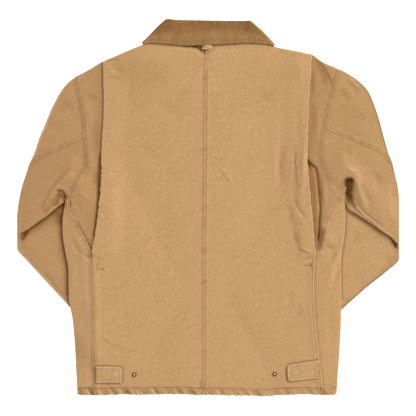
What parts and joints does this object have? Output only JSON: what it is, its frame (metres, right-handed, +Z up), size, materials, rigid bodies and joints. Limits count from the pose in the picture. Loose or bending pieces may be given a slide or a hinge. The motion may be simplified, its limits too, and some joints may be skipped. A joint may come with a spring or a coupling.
{
  "type": "barn jacket",
  "caption": "Unlined barn jacket of washed cotton duck laid flat on its front, back upwards, with pleated back, bent sleeves, corduroy collar, hanger loop and hem tabs.",
  "frame": {"origin": "centre of the overall box at its lowest face, on the surface that the jacket lies on", "axes": "+Z up through the back, +Y from the hem to the collar, +X to the wearer's right sleeve"},
  "size_m": [0.8223, 0.8038, 0.0143],
  "materials": {
    "duck": "washed cotton duck, matt",
    "corduroy": "cotton corduroy, fine wale, soft nap",
    "thread": "spun sewing thread",
    "snap_brass": "antiqued, dull"
  },
  "bodies": {
    "root": {"front_left": "duck", "front_right": "duck", "side_back_left": "duck", "side_back_right": "duck", "back_left": "duck", "back_right": "duck", "top_sleeve_left": "duck", "top_sleeve_right": "duck", "under_sleeve_left": "duck", "under_sleeve_right": "duck", "forearm_left": "duck", "forearm_right": "duck", "collar": "corduroy", "hanger_loop": "duck", "hem_tab_left": "duck", "hem_tab_right": "duck", "snap_stud_left": "snap_brass", "snap_stud_right": "snap_brass", "front_snap_1": "snap_brass", "front_snap_2": "snap_brass", "front_snap_3": "snap_brass", "front_snap_4": "snap_brass", "front_snap_5": "snap_brass"}
  },
  "joints": []
}
